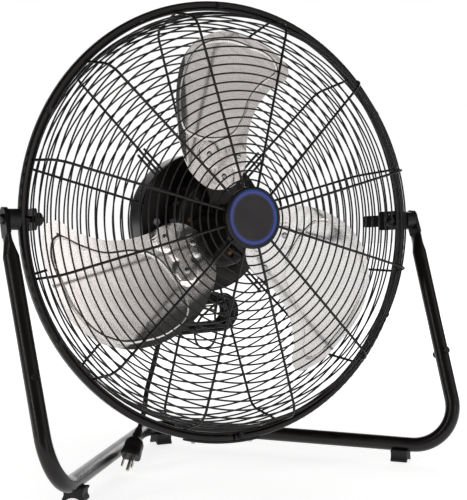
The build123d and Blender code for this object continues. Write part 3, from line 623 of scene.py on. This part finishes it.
rivet_steel = coated("rivet_steel", (0.40, 0.40, 0.41), (0.54, 0.54, 0.55),
                     roughness=(0.14, 0.24), peel=(1500, 0.00005), metallic=1.0)
spots, facings = [], []
for turn in range(3):
    spin = Matrix.Rotation(-2 * pi * turn / 3, 4, "Y")
    for across, outwards in RIVET_SPOTS:
        front = on_blade(across, outwards, -PAD_HEIGHT)
        behind = on_blade(across, outwards, RIVET_DEPTH)
        spots.append(spin @ front)
        facings.append((spin.to_3x3() @ (front - behind)).normalized())
seeds = bpy.data.meshes.new("rivet_spots")
seeds.from_pydata(spots, [], [])
attribute = seeds.attributes.new("facing", "FLOAT_VECTOR", "POINT")
for entry, facing in zip(attribute.data, facings):
    entry.vector = facing
holder = bpy.data.objects.new("rivet_spots", seeds)
bpy.context.scene.collection.objects.link(holder)
rivets = grown(holder, dome_tree(), "rivet_heads", HEAD, head_radius=RIVET_HEAD_RADIUS,
               head_height=RIVET_HEAD_HEIGHT, finish=rivet_steel)
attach(rivets, "rotor")
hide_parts("blade_rivets")


# Badge: a cap moulded in black plastic over the guard's hub, with a printed face under clear lacquer.
# A blue ring runs round a plain charcoal disc, with a thin red line along the middle of the blue.
BADGE_LINE_WIDTH = 0.5 * MM
PRINT_BLUR = 0.2 * MM
RED_LINE_RADIUS = 31.4 * MM
DISC_LINE_RADIUS = 27.6 * MM


def ringed(name, base, line, line_radius, roughness):
    """A printed face with one thin line at a set distance from the fan's axis."""
    material = coated(name, base, line, roughness, (1500, 0.00003), cloud_scale=40)
    tree = material.node_tree
    bsdf = tree.nodes["Principled BSDF"]
    bsdf.inputs["Coat Weight"].default_value = 0.15
    bsdf.inputs["Coat Roughness"].default_value = 0.15
    place = tree.nodes.new("ShaderNodeTexCoord")
    centre = tree.nodes.new("ShaderNodeMapping")
    centre.vector_type = "TEXTURE"
    centre.inputs["Location"].default_value = PIVOT
    centre.inputs["Rotation"].default_value = HEAD.to_euler()
    tree.links.new(place.outputs["Object"], centre.inputs["Vector"])
    flat = tree.nodes.new("ShaderNodeVectorMath")
    flat.operation = "MULTIPLY"
    flat.inputs[1].default_value = (1, 0, 1)
    tree.links.new(centre.outputs["Vector"], flat.inputs[0])
    radius = tree.nodes.new("ShaderNodeVectorMath")
    radius.operation = "LENGTH"
    tree.links.new(flat.outputs["Vector"], radius.inputs[0])
    away = tree.nodes.new("ShaderNodeMath")
    away.operation = "SUBTRACT"
    away.inputs[1].default_value = line_radius
    tree.links.new(radius.outputs["Value"], away.inputs[0])
    size = tree.nodes.new("ShaderNodeMath")
    size.operation = "ABSOLUTE"
    tree.links.new(away.outputs["Value"], size.inputs[0])
    mask = tree.nodes.new("ShaderNodeMapRange")
    mask.inputs["From Min"].default_value = BADGE_LINE_WIDTH / 2 + PRINT_BLUR
    mask.inputs["From Max"].default_value = BADGE_LINE_WIDTH / 2
    tree.links.new(size.outputs["Value"], mask.inputs["Value"])
    tree.links.new(mask.outputs["Result"], tree.nodes["Mix"].inputs["Factor"])
    return material


dress(moulded_black, "badge_cap")
badge_blue = ringed("badge_blue", (0.012, 0.085, 0.36), (0.30, 0.02, 0.03), RED_LINE_RADIUS,
                    roughness=(0.3, 0.4))
badge_charcoal = ringed("badge_charcoal", (0.027, 0.024, 0.027), (0.055, 0.05, 0.055), DISC_LINE_RADIUS,
                        roughness=(0.3, 0.42))
dress(badge_blue, "badge_ring")
dress(badge_charcoal, "badge_disc")


# Power cord: one lead in a black plastic sheath, from the gland into a tied hank, then down to its plug.
# The hank's turns are flat loops that spiral in and out through four layers. They are tied at the left, and
# at the right each layer lies a little longer or higher than the next.
CORD_DIAMETER = 6.5
CORD_STEP = 7.2
HANK_HALF_RUN = 30.0
HANK_LEVELS = (24.75, 21.15, 17.55, 13.95)
HANK_CENTRE = (7.0, 80.0, -128.0)
LAYER_SLACK = ((-3.0, 4.0), (5.0, 7.0), (0.0, 2.5), (-6.0, 8.0))
GLAND_END = -94.0
PLUG_TOP = Vector((-97, 53.5, -267))
PLUG_WAY = Vector((-0.50, -0.43, -0.75)).normalized()


def half_turn(x, y, top, bottom, side, first=0, last=4):
    """Corners of the lead's line round one end of the hank, from one run's level to the other's."""
    middle, radius = (top + bottom) / 2, abs(top - bottom) / 2
    reach = radius / cos(pi / 8)
    start = pi / 2 if top > bottom else -pi / 2
    sweep = -side if top > bottom else side
    points = []
    for k in range(first, last):
        angle = start + sweep * (k + 0.5) * pi / 4
        points.append((x + reach * cos(angle), y, middle + reach * sin(angle)))
    return points


def slackened(points, layer):
    """Lets a layer's right end lie longer and higher, by an amount that fades towards the tied left end."""
    longer, higher = LAYER_SLACK[layer]
    eased = []
    for x, y, z in points:
        share = max((x - HANK_CENTRE[0] + HANK_HALF_RUN) / (4 * HANK_HALF_RUN), 0.0)
        eased.append((x + longer * share, y, z + higher * share))
    return eased


def hank_points():
    cx, cy, cz = HANK_CENTRE
    left, right = cx - HANK_HALF_RUN, cx + HANK_HALF_RUN
    outer, second, third, inner = HANK_LEVELS
    runs = [(-outer, 0), (second, 0), (-third, 0), (inner, 1), (-third, 0), (second, 0), (-outer, 1),
            (second, 0), (-third, 0), (inner, 1), (-third, 0), (second, 0)]
    layer = 3
    y = cy + layer * CORD_STEP
    points = half_turn(left, y, cz + outer + CORD_STEP / 2, cz - outer, -1, first=2)
    for index, (level, climbs) in enumerate(runs):
        near, far, side = (left, right, 1) if level < 0 else (right, left, -1)
        points += slackened([(near, y, cz + level)], layer)
        y -= CORD_STEP * climbs
        layer -= climbs
        points += slackened([(far, y, cz + level)], layer)
        if index < len(runs) - 1:
            points += slackened(half_turn(far, y, cz + level, cz + runs[index + 1][0], side), layer)
    points += half_turn(left - 6, y, cz + second, cz - second - CORD_STEP / 2, -1, last=2)
    return points


gland_exit = (HANK_CENTRE[0] - HANK_HALF_RUN - HANK_LEVELS[0] - CORD_STEP / 4,
              HANK_CENTRE[1] + 3 * CORD_STEP, GLAND_END)
tail = [(-54.5, 80, -150), (-61, 80, -176), (-68, 79, -200), (-78, 75, -226), PLUG_TOP - PLUG_WAY * 24,
        PLUG_TOP + PLUG_WAY * 2]
route = [UPRIGHT @ (Vector(point) * MM) for point in [gland_exit, *hank_points(), *tail]]


def wire_curve(name, lines, radius, material):
    """Round wire or lead along smooth open lines."""
    curve = bpy.data.curves.new(name, "CURVE")
    curve.dimensions = "3D"
    curve.bevel_depth = radius * MM
    curve.bevel_resolution = 4
    curve.resolution_u = 8
    curve.use_fill_caps = True
    for line in lines:
        spline = curve.splines.new("NURBS")
        spline.points.add(len(line) - 1)
        for spot, point in zip(spline.points, line):
            spot.co = (*point, 1)
        spline.order_u = 3
        spline.use_endpoint_u = True
    curve.materials.append(material)
    piece = bpy.data.objects.new(name, curve)
    bpy.context.scene.collection.objects.link(piece)
    return piece


cord_sheath = coated("cord_sheath", (0.0052, 0.0042, 0.0040), (0.0095, 0.0080, 0.0076),
                     roughness=(0.36, 0.5), peel=(1300, 0.0001))
power_lead = wire_curve("power_lead", [route], CORD_DIAMETER / 2, cord_sheath)
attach(power_lead, "head")
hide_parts("cord_lead", "cord_hank", "cord_tail")


# Hank tie: plastic-covered wire that holds the hank's upper runs to a ring of the rear guard.
# Its spare length hangs below the hank in a loose bight, and one end is left sticking down.
TIE_RADIUS = 1.5
tie_band = [(14, 53, -112), (14, 52, -103), (14, 62, -100.8), (14, 80, -100.8), (14, 104, -100.8),
            (14, 108.5, -104), (14, 108.5, -117), (14, 104, -120.5), (14, 80, -120.5), (14, 62, -120.5),
            (13, 54, -121), (11, 53, -112)]
tie_bight = [(14, 53, -112), (17, 60, -120), (21, 71.5, -132), (26, 72, -150), (20, 72, -168), (8, 72, -173),
             (-5, 72, -168), (-10, 72, -150), (-2, 71.5, -132), (6, 60, -120), (11, 53, -112)]
tie_end = [(14, 53, -112), (22, 58, -110), (33, 66, -111), (37, 71, -120), (36, 72, -134), (29, 72, -141)]
tie_lines = [[UPRIGHT @ (Vector(point) * MM) for point in line] for line in (tie_band, tie_bight, tie_end)]
hank_tie = wire_curve("hank_tie", tie_lines, TIE_RADIUS, cord_sheath)
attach(hank_tie, "head")
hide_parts("cord_tie")


# Plug: one moulding over the lead, with a ribbed neck that lets it bend and a body that widens to its face.
# Two flat prongs with a hole each and a round earth pin, all nickel plated, come out of the face.
PLUG_SIDE = Vector((0.8, -0.55, 0))
PLUG_FACE = 42.0
NECK_START = 1.0
NECK_RIBS = 5
NECK_RIB_STEP = 2.7
NECK_GROOVE = 0.7
PRONG_LENGTH = 16.0
PRONG_HALF_WIDTH = 3.2
PRONG_HALF_THICKNESS = 0.75
PRONG_SPREAD = 6.35
PRONG_HOLE_RADIUS = 1.6
PIN_RADIUS = 2.4
PIN_LENGTH = 17.0
PIN_DROP = 5.8
PLUG_SECTIONS = ((14.0, 6.3, 6.3, 2.0), (16.0, 8.0, 7.2, 2.4), (19.0, 10.2, 8.8, 2.8),
                 (22.5, 11.7, 9.8, 3.2), (27.0, 11.9, 9.9, 3.4), (29.0, 11.4, 9.5, 3.4),
                 (31.0, 11.9, 9.9, 3.4), (36.0, 12.3, 10.3, 3.6), (40.6, 12.4, 10.4, 3.8),
                 (42.0, 11.7, 9.7, 3.8))
plug_z = PLUG_WAY
plug_x = (PLUG_SIDE - plug_z * PLUG_SIDE.dot(plug_z)).normalized()
plug_y = plug_z.cross(plug_x)
PLUG = UPRIGHT @ Matrix.Translation(PLUG_TOP * MM) @ Matrix((plug_x, plug_y, plug_z)).transposed().to_4x4()


def neck_sections():
    """Ribs and grooves of the bending neck, widening towards the body."""
    sections = []
    for rib in range(NECK_RIBS):
        base = NECK_START + rib * NECK_RIB_STEP
        crest = 4.5 + 1.9 * rib / (NECK_RIBS - 1)
        groove = crest - NECK_GROOVE
        for along, size in ((0.0, groove), (0.5, crest), (1.6, crest), (2.1, groove)):
            sections.append((base + along, size, size, 2.0))
    return sections


def lofted(name, sections, sides=40):
    """A closed skin over rounded sections given as place along, half width, half depth and squareness."""
    points = []
    for along, wide, deep, square in sections:
        for k in range(sides):
            angle = 2 * pi * k / sides
            x = copysign(abs(cos(angle)) ** (2 / square), cos(angle))
            y = copysign(abs(sin(angle)) ** (2 / square), sin(angle))
            points.append((wide * x * MM, deep * y * MM, along * MM))
    faces = []
    for j in range(len(sections) - 1):
        for k in range(sides):
            m = (k + 1) % sides
            faces.append((j * sides + k, j * sides + m, (j + 1) * sides + m, (j + 1) * sides + k))
    last = (len(sections) - 1) * sides
    faces += [tuple(range(sides - 1, -1, -1)), tuple(range(last, last + sides))]
    mesh = bpy.data.meshes.new(name)
    mesh.from_pydata(points, [], faces)
    mesh.shade_smooth()
    mesh.set_sharp_from_angle(angle=radians(45))
    return mesh


def prong_mesh(name):
    """The two flat prongs, cut from strip with a hole near the tip, and the round pin."""
    outline = bpy.data.curves.new(name, "CURVE")
    outline.dimensions = "2D"
    outline.fill_mode = "BOTH"
    outline.extrude = PRONG_HALF_THICKNESS * MM
    half, tip = PRONG_HALF_WIDTH, PRONG_LENGTH
    strip = [(-half, -1), (half, -1), (half, tip - 3), (half - 1.4, tip), (1.4 - half, tip), (-half, tip - 3)]
    hole = [(PRONG_HOLE_RADIUS * cos(k * pi / 8), tip - 4.6 + PRONG_HOLE_RADIUS * sin(k * pi / 8))
            for k in range(16)]
    for loop in (strip, hole):
        spline = outline.splines.new("POLY")
        spline.points.add(len(loop) - 1)
        spline.use_cyclic_u = True
        for spot, (x, y) in zip(spline.points, loop):
            spot.co = (x * MM, y * MM, 0, 1)
    holder = bpy.data.objects.new(name, outline)
    bpy.context.scene.collection.objects.link(holder)
    flat = bpy.data.meshes.new_from_object(holder.evaluated_get(bpy.context.evaluated_depsgraph_get()))
    bpy.data.objects.remove(holder)
    stand_up = Matrix(((0, 0, 1, 0), (1, 0, 0, 0), (0, 1, 0, 0), (0, 0, 0, 1)))
    whole = bmesh.new()
    for side in (-1, 1):
        prong = flat.copy()
        prong.transform(Matrix.Translation(Vector((side * PRONG_SPREAD, 3.0, PLUG_FACE)) * MM) @ stand_up)
        whole.from_mesh(prong)
    rod = [(-1.0, PIN_RADIUS), (PIN_LENGTH - 1.6, PIN_RADIUS), (PIN_LENGTH - 0.6, 2.0), (PIN_LENGTH, 1.1)]
    pin = lofted("earth_pin", [(PLUG_FACE + along, size, size, 2.0) for along, size in rod], sides=20)
    pin.transform(Matrix.Translation((0, -PIN_DROP * MM, 0)))
    whole.from_mesh(pin)
    bmesh.ops.remove_doubles(whole, verts=whole.verts, dist=1e-6)
    mesh = bpy.data.meshes.new(name)
    whole.to_mesh(mesh)
    whole.free()
    mesh.shade_smooth()
    mesh.set_sharp_from_angle(angle=radians(40))
    return mesh


plug_nickel = coated("plug_nickel", (0.50, 0.48, 0.42), (0.64, 0.61, 0.54),
                     roughness=(0.22, 0.34), peel=(1500, 0.00004), metallic=1.0)
moulding_mesh = lofted("plug_moulding", [*neck_sections(), *PLUG_SECTIONS])
for name, mesh, material, slot, node in (
        ("plug_moulding", moulding_mesh, cord_sheath, "cord_pvc", "plug_body"),
        ("plug_prongs", prong_mesh("plug_prongs"), plug_nickel, "plug_brass", "plug_blades")):
    mesh.transform(PLUG)
    mesh.materials.append(material)
    piece = bpy.data.objects.new(name, mesh)
    bpy.context.scene.collection.objects.link(piece)
    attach(piece, "head")
    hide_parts(node)


# Studio: a plain pale floor that glows to white away from the fan, and soft panels in front and at the sides.
# One more hangs high on the right. Nothing bright is straight overhead, so that the upper sides of the
# black tube and the curled edges of the blades stay dark.
PANEL_COLOUR = (1.0, 0.96, 0.94)
FLOOR_HALF = 8.0
FLOOR_DROP = 0.0005


def studio_paper():
    """Pale matt paper, lit from below further out so that it runs into the white of the room."""
    paper = coated("studio_paper", (0.86, 0.86, 0.86), (0.9, 0.9, 0.9),
                   roughness=(0.8, 0.9), peel=(300, 0.0001))
    tree = paper.node_tree
    bsdf = tree.nodes["Principled BSDF"]
    bsdf.inputs["Specular IOR Level"].default_value = 0.0
    bsdf.inputs["Emission Strength"].default_value = 1.0
    place = tree.nodes.new("ShaderNodeTexCoord")
    distance = tree.nodes.new("ShaderNodeVectorMath")
    distance.operation = "LENGTH"
    tree.links.new(place.outputs["Object"], distance.inputs[0])
    glow = tree.nodes.new("ShaderNodeMapRange")
    glow.interpolation_type = "SMOOTHSTEP"
    glow.inputs["From Min"].default_value = 0.1
    glow.inputs["From Max"].default_value = 1.1
    glow.inputs["To Min"].default_value = 0.78
    glow.inputs["To Max"].default_value = 1.1
    tree.links.new(distance.outputs["Value"], glow.inputs["Value"])
    tree.links.new(glow.outputs["Result"], bsdf.inputs["Emission Color"])
    return paper


def studio_floor():
    mesh = bpy.data.meshes.new("studio_floor")
    half = FLOOR_HALF
    corners = [(-half, -half, 0), (half, -half, 0), (half, half, 0), (-half, half, 0)]
    mesh.from_pydata(corners, [], [(0, 1, 2, 3)])
    mesh.materials.append(studio_paper())
    floor = bpy.data.objects.new("studio_floor", mesh)
    floor.location.z = -FLOOR_DROP
    bpy.context.scene.collection.objects.link(floor)
    return floor


studio_floor()


def softbox(name, place, size, glow):
    """A soft panel turned to the fan, as bright as a white wall where its glow is 1."""
    light = bpy.data.lights.new(name, "AREA")
    light.shape = "RECTANGLE"
    light.size, light.size_y = size
    light.energy = glow * pi * size[0] * size[1]
    light.color = PANEL_COLOUR
    holder = bpy.data.objects.new(name, light)
    holder.location = place
    holder.rotation_mode = "QUATERNION"
    holder.rotation_quaternion = (PIVOT - Vector(place)).to_track_quat("-Z", "Y")
    bpy.context.scene.collection.objects.link(holder)


softbox("front_light", (0.76, -4.36, 1.25), (1.68, 1.46), 2.1)
softbox("front_light_edge", (0.76, -4.36, 2.08), (1.68, 0.20), 0.6)
softbox("right_light", (1.78, -1.29, 0.46), (0.9, 0.58), 0.98)
softbox("right_light_edge", (1.78, -1.29, 0.92), (0.9, 0.34), 0.6)
softbox("upper_light", (1.77, -2.08, 1.63), (1.84, 0.9), 0.8)
softbox("left_strip", (-2.2, -0.5, 0.9), (0.3, 1.6), 6.0)
softbox("back_strip", (1.6, 1.5, 0.9), (0.3, 1.6), 4.0)


def studio_room():
    """A white backdrop behind the fan, and dark screens round the rest of what paint and metal mirror."""
    world = bpy.data.worlds.new("studio_room")
    world.use_nodes = True
    tree = world.node_tree
    walls = tree.nodes["Background"]
    walls.inputs["Color"].default_value = (1.0, 1.0, 1.0, 1)
    walls.inputs["Strength"].default_value = 1.0
    screens = tree.nodes.new("ShaderNodeBackground")
    screens.inputs["Color"].default_value = (1.0, 1.0, 1.0, 1)
    place = tree.nodes.new("ShaderNodeTexCoord")
    behind = tree.nodes.new("ShaderNodeVectorMath")
    behind.operation = "DOT_PRODUCT"
    behind.inputs[1].default_value = (camera_aim.x, camera_aim.y, -0.2)
    tree.links.new(place.outputs["Generated"], behind.inputs[0])
    backdrop = tree.nodes.new("ShaderNodeMapRange")
    backdrop.interpolation_type = "SMOOTHSTEP"
    backdrop.inputs["From Min"].default_value = 0.65
    backdrop.inputs["From Max"].default_value = 0.92
    backdrop.inputs["To Min"].default_value = 0.06
    backdrop.inputs["To Max"].default_value = 1.7
    tree.links.new(behind.outputs["Value"], backdrop.inputs["Value"])
    tree.links.new(backdrop.outputs["Result"], screens.inputs["Strength"])
    ray = tree.nodes.new("ShaderNodeLightPath")
    seen = tree.nodes.new("ShaderNodeMixShader")
    tree.links.new(ray.outputs["Is Camera Ray"], seen.inputs["Fac"])
    tree.links.new(screens.outputs["Background"], seen.inputs[1])
    tree.links.new(walls.outputs["Background"], seen.inputs[2])
    tree.links.new(seen.outputs["Shader"], tree.nodes["World Output"].inputs["Surface"])
    return world


bpy.context.scene.world = studio_room()
bpy.context.scene.view_settings.view_transform = "Standard"
